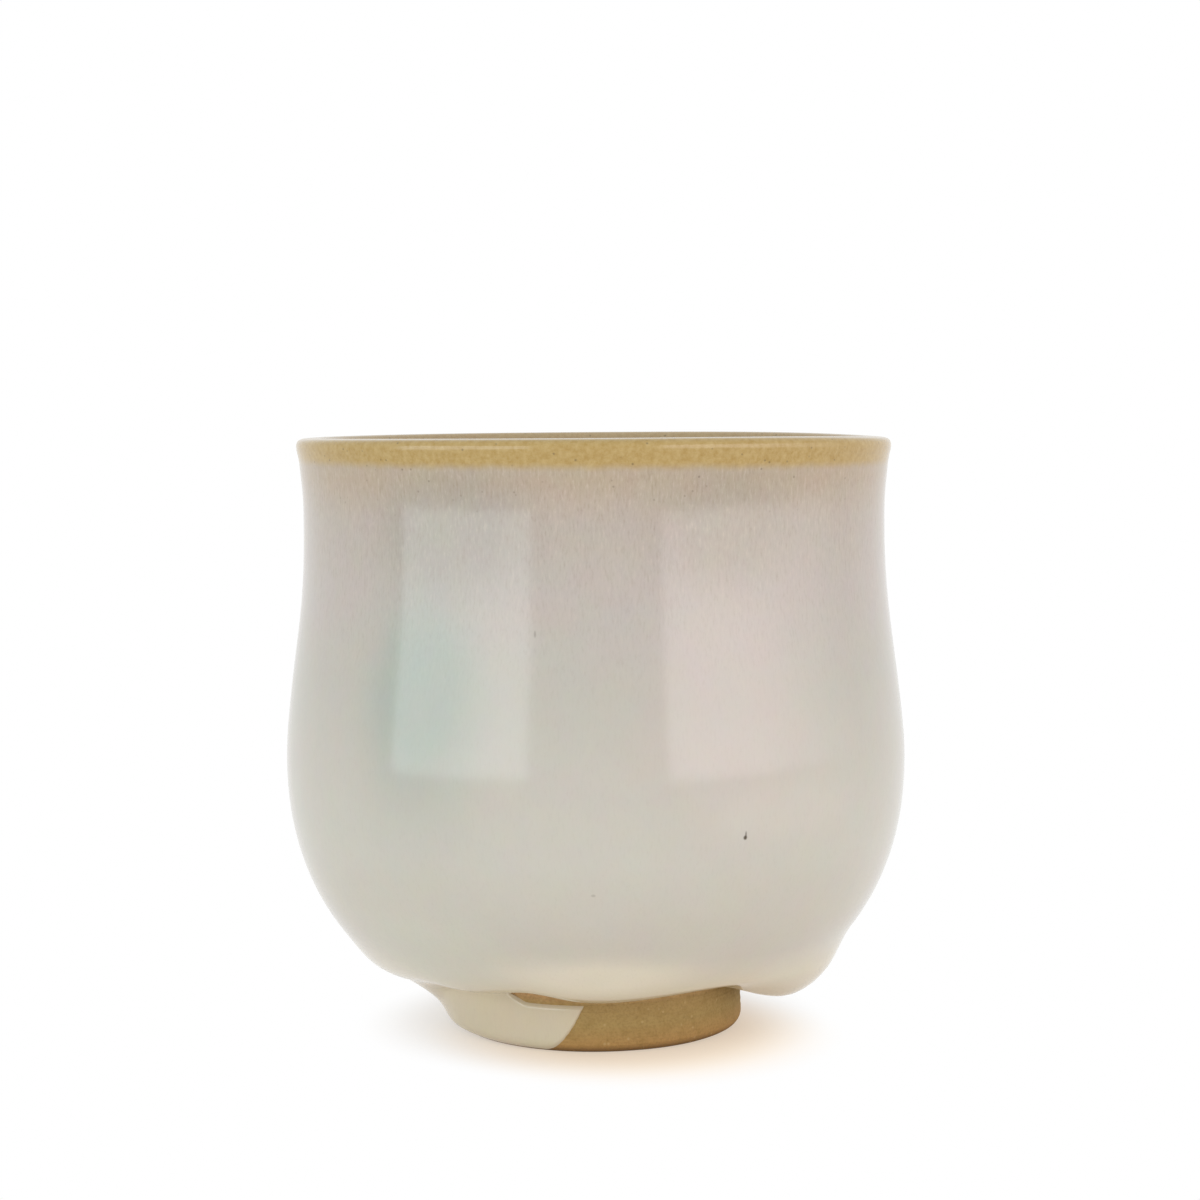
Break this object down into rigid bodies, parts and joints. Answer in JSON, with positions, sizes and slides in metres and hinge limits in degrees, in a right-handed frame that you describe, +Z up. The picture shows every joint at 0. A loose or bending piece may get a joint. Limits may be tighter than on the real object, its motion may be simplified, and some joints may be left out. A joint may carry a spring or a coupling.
{
  "type": "tea cup",
  "caption": "Handleless stoneware tea cup with a waisted wall, a round belly, a narrow turned foot, a pale rolled glaze and an ochre rim.",
  "frame": {"origin": "middle of the foot's resting face, on the cup's axis", "axes": "+Z up along the cup's axis; -Y is the front, the side that the picture shows; +X is the right of that view"},
  "size_m": [0.0888, 0.0888, 0.085],
  "materials": {
    "stoneware": "bare fired clay, matte and slightly sandy",
    "pale_glaze": "glossy milky glaze, pinkish above and cream below",
    "ochre_glaze": "thin satin ochre glaze with fine dark specks"
  },
  "bodies": {
    "root": {"thrown_bowl": "stoneware", "foot_ring": "stoneware", "outer_glaze": "pale_glaze", "rim_glaze": "ochre_glaze", "inner_glaze": "pale_glaze", "foot_glaze": "pale_glaze"}
  },
  "joints": []
}
